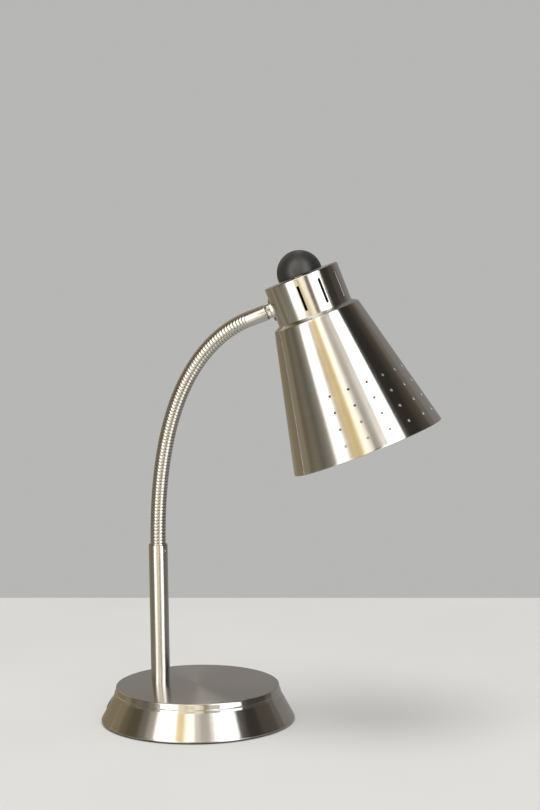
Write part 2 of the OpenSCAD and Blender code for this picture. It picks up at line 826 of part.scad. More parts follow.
module bulb_tip() {
    color("silver") at_head() translate([0, 0, bulb_cap_top + 2.6])
    cylinder(r1 = 4.6, r2 = 3, h = tip_z - bulb_cap_top - 2.6, $fn = small_fn);
}

// Glass stem with its two support wires and the filament between them
module bulb_stem() {
    foot_z = bulb_cap_end + 5;
    stem_len = 34;
    top = foot_z - stem_len;
    spread = 11;
    color("white") at_head() {
        disc(bulb_neck_r - glass_t - 0.1, foot_z - 1.5, foot_z, small_fn);
        disc(3, top, foot_z - 1, small_fn);
        for (side = [-1, 1]) wire([
            [side * 1.5, 0, top + 3], [side * spread, 0, top - 14], [side * spread, 0, top - 17]
        ], 0.4);
        bar([-spread, 0, top - 17], [spread, 0, top - 17], 0.5);
    }
}

base_cover();
base_weight();
base_pad();
cord_grommet();
base_leads();
pole_tube();
pole_plug();
pole_pipe();
pole_washer();
pole_lock_washer();
pole_nut();
neck_sleeve();
neck_set_screw();
neck_root();
for (i = [1 : links]) neck_link(i);
neck_ferrule();
jam_nut();
saddle_washer();
head_pipe();
head_lock_washer();
head_nut();
shade_cap();
shade_cone();
socket_ring();
socket_lid();
socket_body();
socket_shell();
socket_contact();
terminal_screws();
head_leads();
switch_bushing();
bushing_nut();
switch_contact();
switch_cam();
switch_shaft();
switch_knob();
knob_screw();
bulb_glass();
bulb_cap();
bulb_insulator();
bulb_tip();
bulb_stem();
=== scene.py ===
import json
import math

import bmesh
import bpy
from mathutils import Matrix, Vector


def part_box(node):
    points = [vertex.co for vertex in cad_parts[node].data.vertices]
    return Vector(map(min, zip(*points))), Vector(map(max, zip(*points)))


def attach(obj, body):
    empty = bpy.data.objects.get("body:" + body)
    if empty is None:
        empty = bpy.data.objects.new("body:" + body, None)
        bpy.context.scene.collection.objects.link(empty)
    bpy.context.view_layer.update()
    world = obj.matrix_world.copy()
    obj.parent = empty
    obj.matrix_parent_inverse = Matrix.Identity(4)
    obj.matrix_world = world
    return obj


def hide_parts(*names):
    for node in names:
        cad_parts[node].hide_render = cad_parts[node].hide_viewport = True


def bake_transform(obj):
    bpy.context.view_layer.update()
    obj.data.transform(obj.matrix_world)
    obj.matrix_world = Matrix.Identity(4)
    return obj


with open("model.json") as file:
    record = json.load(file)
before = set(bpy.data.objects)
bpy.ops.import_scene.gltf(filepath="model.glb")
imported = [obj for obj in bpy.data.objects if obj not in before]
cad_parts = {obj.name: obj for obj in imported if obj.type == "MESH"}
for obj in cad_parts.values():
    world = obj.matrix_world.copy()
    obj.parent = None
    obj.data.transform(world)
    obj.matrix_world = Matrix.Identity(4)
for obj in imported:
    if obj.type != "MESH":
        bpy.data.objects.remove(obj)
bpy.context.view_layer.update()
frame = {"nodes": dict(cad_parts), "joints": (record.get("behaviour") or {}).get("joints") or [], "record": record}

MM = 0.001
scene = bpy.context.scene
scene.view_settings.view_transform = "Standard"


# ---------------------------------------------------------------- camera
CAMERA_PLACE = (0.7053, -2.4551, 0.6760)
CAMERA_TURN = math.radians(14.594)  # about Z, from looking along +Y
CAMERA_TIP = math.radians(9.105)  # downwards
CAMERA_ROLL = math.radians(0.773)
CAMERA_LENS = 138.95


def add_camera():
    sight = Vector((-math.sin(CAMERA_TURN) * math.cos(CAMERA_TIP),
                    math.cos(CAMERA_TURN) * math.cos(CAMERA_TIP), -math.sin(CAMERA_TIP)))
    level = Vector((math.cos(CAMERA_TURN), math.sin(CAMERA_TURN), 0))
    over = level.cross(sight)
    right = level * math.cos(CAMERA_ROLL) - over * math.sin(CAMERA_ROLL)
    up = right.cross(sight)
    turn = Matrix((right, up, -sight)).transposed().to_4x4()
    camera = bpy.data.objects.new("camera", bpy.data.cameras.new("camera"))
    camera.data.lens = CAMERA_LENS
    camera.data.sensor_width = 36
    camera.data.clip_start = 0.1
    camera.data.clip_end = 50
    camera.matrix_world = Matrix.Translation(CAMERA_PLACE) @ turn
    scene.collection.objects.link(camera)
    scene.camera = camera


add_camera()


# ---------------------------------------------------------------- shader helpers
NOISE_LOW, NOISE_HIGH = 0.3, 0.7


class Shader:
    """A procedural material with one Principled shader. Constants go on its own sockets."""

    def __init__(self, name, **constants):
        self.material = bpy.data.materials.new(name)
        self.material.use_nodes = True
        self.tree = self.material.node_tree
        self.bsdf = self.tree.nodes["Principled BSDF"]
        for socket, value in constants.items():
            self.set(socket.replace("_", " "), value)

    def set(self, socket, value):
        if isinstance(value, bpy.types.NodeSocket):
            self.tree.links.new(value, self.bsdf.inputs[socket])
        elif isinstance(value, tuple):
            self.bsdf.inputs[socket].default_value = (*value, 1)
        else:
            self.bsdf.inputs[socket].default_value = value

    def node(self, kind, inputs=(), **settings):
        made = self.tree.nodes.new("ShaderNode" + kind)
        for name, value in settings.items():
            setattr(made, name, value)
        for name, value in dict(inputs).items():
            if isinstance(value, bpy.types.NodeSocket):
                self.tree.links.new(value, made.inputs[name])
            else:
                made.inputs[name].default_value = value
        return made

    def math(self, operation, a, b):
        return self.node("Math", {0: a, 1: b}, operation=operation).outputs[0]

    def place(self):
        return self.node("TexCoord").outputs["Object"]

    def turned_place(self, around, along):
        """Coordinates on a turned surface about Z: slow round the axis, quick across the brush lines."""
        place = self.place()
        flat = self.node("VectorMath", {0: place, 1: (1, 1, 0)}, operation="MULTIPLY").outputs[0]
        radius = self.node("VectorMath", {0: flat}, operation="LENGTH").outputs["Value"]
        unit = self.node("VectorMath", {0: flat}, operation="NORMALIZE").outputs[0]
        turn = self.node("VectorMath", {0: unit, "Scale": around}, operation="SCALE").outputs[0]
        height = self.node("SeparateXYZ", {0: place}).outputs["Z"]
        across = self.math("MULTIPLY", self.math("SUBTRACT", height, radius), along)
        lift = self.node("CombineXYZ", {"Z": across}).outputs[0]
        return self.node("VectorMath", {0: turn, 1: lift}, operation="ADD").outputs[0]

    def noise(self, vector, scale, detail=3.0, roughness=0.55):
        return self.node("TexNoise", {"Vector": vector, "Scale": scale, "Detail": detail,
                                      "Roughness": roughness}).outputs["Fac"]

    def spread(self, noise, low, high):
        """Stretches the part of a noise that most of it lies in to the span from low to high."""
        return self.node("MapRange", {"Value": noise, "From Min": NOISE_LOW, "From Max": NOISE_HIGH,
                                      "To Min": low, "To Max": high}).outputs["Result"]

    def blend(self, share, a, b):
        made = self.node("Mix", {"Factor": share}, data_type="RGBA")
        for slot, colour in ((6, a), (7, b)):
            if isinstance(colour, bpy.types.NodeSocket):
                self.tree.links.new(colour, made.inputs[slot])
            else:
                made.inputs[slot].default_value = (*colour, 1)
        return made.outputs[2]

    def bump(self, height, distance, strength=1.0):
        made = self.node("Bump", {"Height": height, "Distance": distance, "Strength": strength})
        self.set("Normal", made.outputs["Normal"])


def darker(tint):
    return tuple(c * 0.9 for c in tint)


def brushed_nickel(name, line=5200, roughness=(0.15, 0.2)):
    """Lacquered nickel, brushed round its Z axis: reflections are sharp round it and smear along it."""
    s = Shader(name, Metallic=1.0, Anisotropic=0.96, Anisotropic_Rotation=0.25,
               Coat_Weight=1.0, Coat_Roughness=0.05, Coat_IOR=1.45)
    fine = s.noise(s.turned_place(1.2, line), 1.0, 4.0, 0.7)
    broad = s.noise(s.turned_place(2.4, line / 14), 1.0, 2.0)
    smudge = s.noise(s.place(), 34.0, 3.0)
    tint = (0.68, 0.655, 0.615)
    s.set("Base Color", s.blend(s.spread(fine, 0, 1), darker(tint), tint))
    rough = s.spread(fine, *roughness)
    s.set("Roughness", s.math("ADD", rough, s.spread(smudge, -0.015, 0.02)))
    s.set("Tangent", s.node("Tangent", direction_type="RADIAL", axis="Z").outputs[0])
    s.bump(s.math("ADD", fine, s.math("MULTIPLY", broad, 0.5)), 3e-6, 0.5)
    return s.material


def plated_nickel(name, tint, roughness):
    """Semi-bright plating with faint drawing marks and a slightly cloudy, uneven tone."""
    s = Shader(name, Metallic=1.0)
    cloud = s.noise(s.place(), 60.0, 4.0)
    grain = s.noise(s.place(), 900.0, 3.0)
    s.set("Base Color", s.blend(s.spread(cloud, 0, 1), darker(tint), tint))
    s.set("Roughness", s.spread(grain, *roughness))
    s.bump(grain, 6e-6, 0.4)
    return s.material


def hose_nickel():
    """Plating that is bright on the hose's ribs and rougher in the grooves between them, with painted shade: its
    colour turns dark in the grooves.
    """
    s = Shader("hose_nickel", Metallic=1.0)
    cloud = s.noise(s.place(), 120.0, 4.0)
    depth = s.node("Attribute", attribute_name="groove_shade").outputs["Fac"]
    crest = s.blend(s.spread(cloud, 0, 1), (0.66, 0.63, 0.58), (0.72, 0.69, 0.64))
    # Painted shade: the colour turns dark where the groove mask is high, in the grooves between the ribs.
    s.set("Base Color", s.blend(depth, crest, (0.15, 0.135, 0.115)))
    s.set("Roughness", s.math("ADD", s.spread(cloud, 0.15, 0.21), s.math("MULTIPLY", depth, 0.2)))
    s.bump(s.noise(s.place(), 2500.0, 2.0), 4e-6, 0.4)
    return s.material


def dull(name, low, high, roughness, scale, bump, **constants):
    """Plastic, rubber, paint or enamel: two close colours, uneven gloss and a fine moulded surface."""
    s = Shader(name, **constants)
    cloud = s.noise(s.place(), scale / 12, 3.0)
    grain = s.noise(s.place(), scale, 4.0)
    s.set("Base Color", s.blend(s.spread(cloud, 0, 1), low, high))
    s.set("Roughness", s.spread(s.math("ADD", s.math("MULTIPLY", cloud, 0.6),
                                       s.math("MULTIPLY", grain, 0.4)), *roughness))
    s.bump(grain, bump)
    return s.material


def machined(name, low, high, roughness):
    """Bare metal: two close colours and a fine tooled surface."""
    s = Shader(name, Metallic=1.0)
    cloud = s.noise(s.place(), 90.0, 3.0)
    grain = s.noise(s.place(), 700.0, 4.0)
    s.set("Base Color", s.blend(s.spread(cloud, 0, 1), low, high))
    s.set("Roughness", s.spread(grain, *roughness))
    s.bump(grain, 8e-6, 0.5)
    return s.material


def wire_pair(name):
    """Two wires in one node: black insulation on one side of the middle plane, white on the other."""
    s = Shader(name)
    side = s.node("SeparateXYZ", {0: s.place()}).outputs["Y"]
    white = s.math("GREATER_THAN", side, 0.0)
    grain = s.noise(s.place(), 900.0)
    s.set("Base Color", s.blend(white, (0.02, 0.02, 0.02), (0.72, 0.71, 0.68)))
    s.set("Roughness", s.spread(grain, 0.38, 0.55))
    s.bump(grain, 1e-5)
    return s.material


def frosted_glass(name):
    s = Shader(name, Transmission_Weight=0.55, IOR=1.45, Subsurface_Weight=0.15)
    etch = s.noise(s.place(), 1800.0, 4.0)
    cloud = s.noise(s.place(), 70.0, 3.0)
    s.set("Base Color", s.blend(s.spread(cloud, 0, 1), (0.90, 0.89, 0.86), (0.95, 0.94, 0.92)))
    s.set("Roughness", s.spread(etch, 0.42, 0.6))
    s.bump(etch, 8e-6, 0.5)
    return s.material


def clear_glass(name):
    s = Shader(name, Transmission_Weight=0.9, IOR=1.5, Base_Color=(0.95, 0.96, 0.95))
    s.set("Roughness", s.spread(s.noise(s.place(), 300.0), 0.02, 0.08))
    return s.material


nickel = brushed_nickel("brushed_nickel")
cone_nickel = brushed_nickel("shade_nickel", line=4200)
pole_nickel = brushed_nickel("pole_nickel", line=3000, roughness=(0.2, 0.24))
smooth_nickel = plated_nickel("ferrule_nickel", (0.70, 0.67, 0.62), (0.16, 0.26))
knurl_nickel = plated_nickel("jam_nickel", (0.62, 0.585, 0.53), (0.12, 0.2))
ribbed_nickel = hose_nickel()
enamel = dull("white_enamel", (0.80, 0.79, 0.76), (0.86, 0.855, 0.83), (0.28, 0.4), 420.0, 1.2e-5)
knob_black = dull("knob_satin", (0.018, 0.018, 0.020), (0.026, 0.026, 0.029), (0.33, 0.42),
                  1500.0, 6e-6, Specular_IOR_Level=0.8)
phenolic = dull("phenolic", (0.014, 0.013, 0.013), (0.026, 0.025, 0.024), (0.3, 0.48), 900.0, 1e-5)
rubber = dull("base_rubber", (0.012, 0.012, 0.012), (0.024, 0.024, 0.023), (0.7, 0.9), 800.0, 4e-5)
casting = dull("black_casting", (0.03, 0.03, 0.032), (0.055, 0.054, 0.053), (0.55, 0.8),
               260.0, 1.6e-4)
nylon = dull("cam_nylon", (0.74, 0.73, 0.69), (0.8, 0.79, 0.76), (0.4, 0.55), 700.0, 1e-5)
zinc = machined("zinc_steel", (0.56, 0.57, 0.59), (0.68, 0.69, 0.71), (0.25, 0.42))
brass = machined("brass", (0.66, 0.49, 0.24), (0.78, 0.60, 0.32), (0.22, 0.38))
aluminium = machined("bulb_aluminium", (0.72, 0.72, 0.72), (0.82, 0.82, 0.82), (0.24, 0.36))
wires = wire_pair("wire_insulation")
bulb_glass = frosted_glass("bulb_frosted")
stem_glass = clear_glass("bulb_stem")

NODE_MATERIAL = {
    "base_weight": casting, "pole_plug": zinc, "pole_pipe": brass, "pole_washer": zinc,
    "pole_lock_washer": zinc, "pole_nut": brass, "base_leads": wires, "neck_sleeve": zinc,
    "neck_set_screw": zinc, "saddle_washer": smooth_nickel, "head_pipe": brass,
    "head_lock_washer": zinc, "head_nut": brass, "socket_lid": phenolic, "socket_shell": brass,
    "socket_contact": brass, "terminal_screws": brass, "head_leads": wires,
    "switch_bushing": zinc, "bushing_nut": zinc, "switch_contact": brass, "switch_cam": nylon,
    "switch_shaft": zinc, "knob_screw": zinc, "bulb_insulator": phenolic, "bulb_tip": aluminium,
    "bulb_stem": stem_glass,
}
for node, material in NODE_MATERIAL.items():
    mesh = frame["nodes"][node].data
    mesh.materials.clear()
    mesh.materials.append(material)
    mesh.polygons.foreach_set("use_smooth", [True] * len(mesh.polygons))
    mesh.set_sharp_from_angle(angle=math.radians(32))


# ---------------------------------------------------------------- places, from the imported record
joints = {j["name"]: j for j in frame["joints"]}
neck_joints = [j for j in frame["joints"] if j["name"].startswith("neck_")]
mounts = {m["name"]: m for m in frame["record"]["mounts"]}


def axes_at(origin, z_axis, x_hint=(1, 0, 0)):
    """A place whose local Z is z_axis and whose local X leans towards x_hint."""
    z = Vector(z_axis).normalized()
    y = z.cross(Vector(x_hint)).normalized()
    return Matrix.Translation(origin) @ Matrix((y.cross(z), y, z)).transposed().to_4x4()


knob_turn = joints["switch_turn"]
HEAD = axes_at(knob_turn["pos_m"], knob_turn["axis"])
arm_way = HEAD.to_3x3() @ Vector((1, 0, 0))
ARM = axes_at(neck_joints[-1]["pos_m"], arm_way, (0, 0, 1))
pole_low, pole_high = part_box("pole_tube")
pole_x = (pole_low.x + pole_high.x) / 2
POLE = Matrix.Translation((pole_x, 0, 0))
BASE = Matrix.Identity(4)
OUTLET = axes_at(mounts["cord_outlet"]["pos_m"], mounts["cord_outlet"]["axis"], (0, 0, 1))


# ---------------------------------------------------------------- mesh helpers
FILLET_STEPS = 5


def fillet(points):
    """(radius, height[, fillet]) corners in millimetres to a plain outline with its corners rounded."""
    out = []
    count = len(points)
    for i, corner in enumerate(points):
        r = corner[2] if len(corner) > 2 else 0
        here = Vector(corner[:2])
        if not r:
            out.append(here)
            continue
        a = (Vector(points[i - 1][:2]) - here).normalized()
        b = (Vector(points[(i + 1) % count][:2]) - here).normalized()
        half = a.angle(b) / 2
        centre = here + (a + b).normalized() * r / math.sin(half)
        start = here + a * r / math.tan(half) - centre
        end = here + b * r / math.tan(half) - centre
        turn = start.angle_signed(end)
        for k in range(FILLET_STEPS + 1):
            spin = Matrix.Rotation(-turn * k / FILLET_STEPS, 2)
            out.append(centre + spin @ start)
    return out


def arc(height, radius, start, end, steps):
    """Outline points on an arc about the axis at that height, from angle start to end in degrees."""
    turns = [math.radians(start + (end - start) * k / steps) for k in range(steps + 1)]
    return [(radius * math.cos(turn), height + radius * math.sin(turn)) for turn in turns]


def new_object(name, mesh, place, materials):
    for material in materials:
        mesh.materials.append(material)
    made = bpy.data.objects.new(name, mesh)
    made.matrix_world = place
    scene.collection.objects.link(made)
    return made


def face_outwards(mesh):
    b = bmesh.new()
    b.from_mesh(mesh)
    bmesh.ops.recalc_face_normals(b, faces=b.faces)
    b.to_mesh(mesh)
    b.free()


def lathe(name, outline, place, materials, segments=192, closed=True):
    """A turned surface about local Z. outline is (radius, height[, fillet]) corners in millimetres."""
    points = fillet(outline)
    mesh = bpy.data.meshes.new(name)
    verts, rings, faces = [], [], []
    for r, z in points:
        if r < 1e-6:
            rings.append([len(verts)] * segments)
            verts.append((0, 0, z * MM))
            continue
        rings.append(list(range(len(verts), len(verts) + segments)))
        for k in range(segments):
            a = 2 * math.pi * k / segments
            verts.append((r * MM * math.cos(a), r * MM * math.sin(a), z * MM))
    last = len(rings) if closed else len(rings) - 1
    for i in range(last):
        low, high = rings[i], rings[(i + 1) % len(rings)]
        for k in range(segments):
            m = (k + 1) % segments
            face = []
            for v in (low[k], low[m], high[m], high[k]):
                if v not in face:
                    face.append(v)
            if len(face) > 2:
                faces.append(face)
    mesh.from_pydata(verts, [], faces)
    face_outwards(mesh)
    return new_object(name, mesh, place, materials)


def toothed_ring(name, stations, count, dip, place, material):
    """A closed ring about local Z through (radius, height) stations in millimetres.
    Point k of count round a station lies dip(k, radius, height) inside its radius."""
    verts, faces = [], []
    for r, z in stations:
        for k in range(count):
            a = 2 * math.pi * k / count
            reach = (r - dip(k, r, z)) * MM
            verts.append((reach * math.cos(a), reach * math.sin(a), z * MM))
    for i in range(len(stations)):
        low, high = i * count, (i + 1) % len(stations) * count
        for k in range(count):
            m = (k + 1) % count
            faces.append((low + k, low + m, high + m, high + k))
    mesh = bpy.data.meshes.new(name)
    mesh.from_pydata(verts, [], faces)
    face_outwards(mesh)
    return new_object(name, mesh, place, [material])


SMOOTH_LIMIT = math.radians(35)  # faces that meet at more than this keep a sharp edge
LEVEL = 0.02  # a face whose normal leans out less than this counts as level
TURNED = 0.9985  # how nearly a turned face's normal points away from the axis


def turned_normals(obj):
    """Exact normals for each face on a turned surface about local Z, cuts in it included."""
    mesh = obj.data
    mesh.polygons.foreach_set("use_smooth", [True] * len(mesh.polygons))
    slopes = {}
    for face in mesh.polygons:
        c, n = face.center, face.normal
        out = Vector((c.x, c.y)).normalized()
        flat = Vector((n.x, n.y))
        if flat.length < LEVEL:
            slopes[face.index] = Vector((0, 1 if n.z > 0 else -1))
        elif abs(flat.normalized().dot(out)) > TURNED:
            slopes[face.index] = Vector((flat.dot(out), n.z)).normalized()
    around = {}
    for index, slope in slopes.items():
        for v in mesh.polygons[index].vertices:
            around.setdefault(v, []).append(slope)
    close = math.cos(SMOOTH_LIMIT)
    normals = [(0, 0, 0)] * len(mesh.loops)
    for face in mesh.polygons:
        own = slopes.get(face.index)
        for loop in face.loop_indices:
            v = mesh.loops[loop].vertex_index
            if own is None:
                normals[loop] = tuple(face.normal)
                continue
            mixed = Vector((0, 0))
            for slope in around[v]:
                if slope.dot(own) > close:
                    mixed += slope
            mixed.normalize()
            x, y = mesh.vertices[v].co.x, mesh.vertices[v].co.y
            r = math.hypot(x, y)
            if r < 1e-7:
                normals[loop] = (0, 0, 1 if own.y > 0 else -1)
            else:
                normals[loop] = (mixed.x * x / r, mixed.x * y / r, mixed.y)
    mesh.normals_split_custom_set(normals)


def prism(sides, radius, start, end, place):
    """A cutter: a regular prism of that radius from start to end along place's Z, in millimetres."""
    verts, faces = [], []
    for z in (start, end):
        for k in range(sides):
            a = 2 * math.pi * (k + 0.5) / sides
            verts.append(place @ Vector((radius * math.cos(a), radius * math.sin(a), z)) * MM)
    for k in range(sides):
        m = (k + 1) % sides
        faces.append((k, m, sides + m, sides + k))
    faces.append(tuple(range(sides - 1, -1, -1)))
    faces.append(tuple(range(sides, 2 * sides)))
    return verts, faces


def slot_block(width, length, depth, corner, place):
    """A cutter: a slot along place's Z with rounded ends, cutting along its X from 0 to depth."""
    outline = []
    for sy, sz, start in ((1, 1, 0), (-1, 1, 90), (-1, -1, 180), (1, -1, 270)):
        for k in range(4):
            a = math.radians(start + 30 * k)
            outline.append((sy * (width / 2 - corner) + corner * math.cos(a),
                            sz * (length / 2 - corner) + corner * math.sin(a)))
    count = len(outline)
    verts = [place @ Vector((x, y, z)) * MM for x in (0, depth) for y, z in outline]
    faces = [(k, (k + 1) % count, count + (k + 1) % count, count + k) for k in range(count)]
    faces += [tuple(range(count - 1, -1, -1)), tuple(range(count, 2 * count))]
    return verts, faces


def cut(obj, cutters):
    """Takes the cutters, given in obj's own coordinates, out of obj."""
    verts, faces = [], []
    for more, sides in cutters:
        faces += [tuple(len(verts) + v for v in side) for side in sides]
        verts += more
    mesh = bpy.data.meshes.new("cutters")
    mesh.from_pydata(verts, [], faces)
    face_outwards(mesh)
    tool = bpy.data.objects.new("cutters", mesh)
    tool.matrix_world = obj.matrix_world
    scene.collection.objects.link(tool)
    boolean = obj.modifiers.new("cut", "BOOLEAN")
    boolean.operation = "DIFFERENCE"
    boolean.solver = "EXACT"
    boolean.object = tool
    bpy.context.view_layer.update()
    evaluated = obj.evaluated_get(bpy.context.evaluated_depsgraph_get())
    result = bpy.data.meshes.new_from_object(evaluated)
    obj.modifiers.clear()
    obj.data = result
    bpy.data.objects.remove(tool)


def enamel_inside(obj, lowest):
    """Gives the second material to the faces that look inwards, and to those above lowest that look down."""
    for face in obj.data.polygons:
        c, n = face.center, face.normal
        if c.x * n.x + c.y * n.y < -1e-4 or n.z < -0.9 and c.z > lowest * MM:
            face.material_index = 1


def settle(obj, body, slot, *nodes):
    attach(obj, body)
    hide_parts(*nodes)


# ---------------------------------------------------------------- base
cover_low, cover_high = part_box("base_cover")
BASE_R = (cover_high.x - cover_low.x) / 2 / MM
BASE_LOW = cover_low.z / MM
BASE_TOP = cover_high.z / MM
RIM_R = BASE_R - 12.7  # edge of the flat top
BAND_R = RIM_R + 1.2  # lower edge of the rim band
BAND_Z = BASE_TOP - 7
SHEET = 1.2

cover = lathe("base_cover_turned", [
    (0, BASE_TOP), (RIM_R, BASE_TOP, 1.1), (RIM_R + 0.55, BAND_Z + 2.2, 0.8),
    (BAND_R + 0.15, BAND_Z + 1.7, 0.5), (BAND_R + 0.35, BAND_Z - 0.4, 0.4),
    (BASE_R - 0.5, BASE_LOW + 1.7, 0.9), (BASE_R, BASE_LOW + 0.9, 0.4),
    (BASE_R - 0.1, BASE_LOW, 0.2), (BASE_R - 1.5, BASE_LOW, 0.2),
    (BAND_R - 1.5, BAND_Z - 0.4), (RIM_R - SHEET, BASE_TOP - SHEET), (0, BASE_TOP - SHEET),
], BASE, [nickel], segments=256, closed=False)
turned_normals(cover)
settle(cover, "stand", "brushed_nickel", "base_cover")

pad_low, pad_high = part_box("base_pad")
PAD_R = (pad_high.x - pad_low.x) / 2 / MM
PAD_TOP = pad_high.z / MM
PAD_FOOT = 21  # width of the rim that the pad stands on
PAD_HOLLOW = 0.35
pad = lathe("base_pad_moulded", [
    (0, PAD_HOLLOW), (PAD_R - PAD_FOOT - 1, PAD_HOLLOW, 0.1), (PAD_R - PAD_FOOT, 0.0, 0.1),
    (PAD_R - 0.05, 0, 0.5),
    (PAD_R, PAD_TOP, 0.3), (0, PAD_TOP),
], BASE, [rubber], segments=256, closed=False)
turned_normals(pad)
settle(pad, "stand", "black_pad", "base_pad")

BUSHING_BORE, BUSHING_WAIST, BUSHING_R = 3.2, 4.8, 6.2  # radii
BUSHING_END, LIP_LOW, LIP_TOP = -2.2, 0.85, 1.35
grommet = lathe("cord_bushing_moulded", [
    (BUSHING_BORE, BUSHING_END, 0.5), (BUSHING_R, BUSHING_END, 0.4), (BUSHING_R, -0.8, 0.3),
    (BUSHING_WAIST, -0.8), (BUSHING_WAIST, LIP_LOW), (BUSHING_R, LIP_LOW, 0.15),
    (BUSHING_R, LIP_TOP, 0.3), (BUSHING_BORE, LIP_TOP, 0.4),
], OUTLET, [rubber], segments=96)
turned_normals(grommet)
settle(grommet, "stand", "black_plastic", "cord_grommet")


# ---------------------------------------------------------------- pole
POLE_R = (pole_high.x - pole_low.x) / 2 / MM
POLE_LOW = pole_low.z / MM
POLE_TOP = pole_high.z / MM
screw_low, screw_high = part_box("neck_set_screw")
screw_at = (screw_low + screw_high) / 2
SCREW_Z = screw_at.z / MM
SCREW_TURN = math.atan2(screw_at.y, screw_at.x - pole_x)
SCREW_HOLE_R = 2.05
POLE_WALL = 1

pole = lathe("pole_turned", [
    (POLE_R, POLE_LOW), (POLE_R, POLE_LOW + 0.5), (POLE_R, POLE_TOP, 0.35),
    (POLE_R - POLE_WALL, POLE_TOP, 0.25), (POLE_R - POLE_WALL, POLE_LOW),
], POLE, [pole_nickel], segments=128)
to_screw = (Matrix.Translation((0, 0, SCREW_Z)) @ Matrix.Rotation(SCREW_TURN, 4, "Z")
            @ Matrix.Rotation(math.pi / 2, 4, "Y"))
cut(pole, [prism(48, SCREW_HOLE_R, 0, POLE_R + 1, to_screw)])
turned_normals(pole)
settle(pole, "stand", "brushed_nickel", "pole_tube")


# ---------------------------------------------------------------- flexible neck
HOSE_R = 6.4 * MM
RIB_PITCH = 2.78 * MM
RIB_DEPTH = 0.23 * MM
RIB_SHAPE = 4  # flatter crests and a narrower groove above 2
GROOVE_SHADE_SHAPE = 6  # the same for the painted shade in the groove
HOSE_SIDES = 72
RIB_STEPS = 12
NECK_ROOT = 24 * MM  # length of the hose inside the pole
ARM_START = 5 * MM  # from the last joint to the end of the hose's skin

turn_points = [Vector(j["pos_m"]) for j in neck_joints]
hose_start = Vector((pole_x, 0, POLE_TOP * MM))
hose_end = turn_points[-1] + arm_way * ARM_START
link_middles = [(a + b) / 2 for a, b in zip(turn_points, turn_points[1:])]
middles = [hose_start, *link_middles, hose_end]


def hose_piece(index, start_length):
    """The skin from the middle of one link to the middle of the next. It bends across one joint."""
    a, b, c = middles[index], turn_points[index], middles[index + 1]
    length = (b - a).length + (c - b).length
    root = NECK_ROOT if index == 0 else 0
    rings = max(2, round((length + root) / RIB_PITCH * RIB_STEPS))
    verts, normals, groove_shades = [], [], []
    for i in range(rings + 1):
        s = -root + (length + root) * i / rings
        t = max(0, s) / length
        at = a * (1 - t) ** 2 + b * 2 * t * (1 - t) + c * t * t
        way = ((b - a) * (1 - t) + (c - b) * t).normalized()
        if s < 0:
            at = a + way * s
        side = Vector((0, 1, 0))
        third = way.cross(side)
        for k in range(HOSE_SIDES):
            turn = k / HOSE_SIDES
            phase = ((start_length + s) / RIB_PITCH - turn) % 1
            x = 2 * phase - 1
            r = HOSE_R - RIB_DEPTH * abs(x) ** RIB_SHAPE
            steep = RIB_DEPTH * RIB_SHAPE * abs(x) ** (RIB_SHAPE - 1)
            slope = -steep * math.copysign(2, x) / RIB_PITCH
            out = side * math.cos(2 * math.pi * turn) + third * math.sin(2 * math.pi * turn)
            verts.append(at + out * r)
            normals.append((out - way * slope).normalized())
            # How far into its groove a point lies, which sets the painted shade there.
            groove_shades.append(abs(x) ** GROOVE_SHADE_SHAPE)
    faces = []
    for i in range(rings):
        for k in range(HOSE_SIDES):
            m = (k + 1) % HOSE_SIDES
            low, high = i * HOSE_SIDES, (i + 1) * HOSE_SIDES
            faces.append((low + k, low + m, high + m, high + k))
    mesh = bpy.data.meshes.new("neck_hose")
    mesh.from_pydata(verts, [], faces)
    if mesh.polygons[0].normal.dot(normals[0]) < 0:
        mesh.flip_normals()
    mesh.polygons.foreach_set("use_smooth", [True] * len(faces))
    mesh.normals_split_custom_set_from_vertices(normals)
    mesh.attributes.new("groove_shade", "FLOAT", "POINT").data.foreach_set("value", groove_shades)
    made = new_object(f"neck_hose_{index:02d}", mesh, Matrix.Identity(4), [ribbed_nickel])
    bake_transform(made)
    node = "neck_root" if index == 0 else f"neck_link_{index}"
    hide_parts(node)
    return length


run = 0.0
for index in range(len(neck_joints)):
    run += hose_piece(index, run)


# ---------------------------------------------------------------- end of the neck
FERRULE_R, FERRULE_SOCKET_R, FERRULE_BORE_R = 6.45, 5.1, 2.5
FERRULE_START, FERRULE_STEP, FERRULE_END = 4.4, 16, 24.6
ferrule = lathe("neck_ferrule_turned", [
    (4.6, FERRULE_START), (5.9, FERRULE_START), (6.1, 4.9, 0.15), (FERRULE_R, 5.1, 0.25),
    (FERRULE_R, FERRULE_END, 2.2), (FERRULE_SOCKET_R, FERRULE_END),
    (FERRULE_SOCKET_R, FERRULE_STEP), (FERRULE_BORE_R, FERRULE_STEP), (FERRULE_BORE_R, FERRULE_START),
], ARM, [smooth_nickel], segments=96)
turned_normals(ferrule)
settle(ferrule, "head", "neck_nickel", "neck_ferrule")


NUT_R, NUT_EDGE_R, NUT_BORE_R = 5.85, 5.45, 5.1
NUT_END, NUT_CHAMFER = 27.8, 0.5
NUT_TEETH, TOOTH_DEPTH = 28, 0.32


def knurled_nut():
    """Round nut with pointed straight knurling and turned-down ends."""
    start, end = FERRULE_END, NUT_END
    stations = [(start, NUT_BORE_R), (start, NUT_EDGE_R), (start + NUT_CHAMFER, NUT_R),
                (end - NUT_CHAMFER, NUT_R), (end, NUT_EDGE_R), (end, NUT_BORE_R)]

    def dip(k, r, z):
        return (0, 0.5, 1, 0.5)[k % 4] * TOOTH_DEPTH if r == NUT_R else 0

    return toothed_ring("jam_nut_knurled", [(r, z) for z, r in stations], NUT_TEETH * 4, dip,
                        ARM, knurl_nickel)


settle(knurled_nut(), "head", "neck_nickel", "jam_nut")


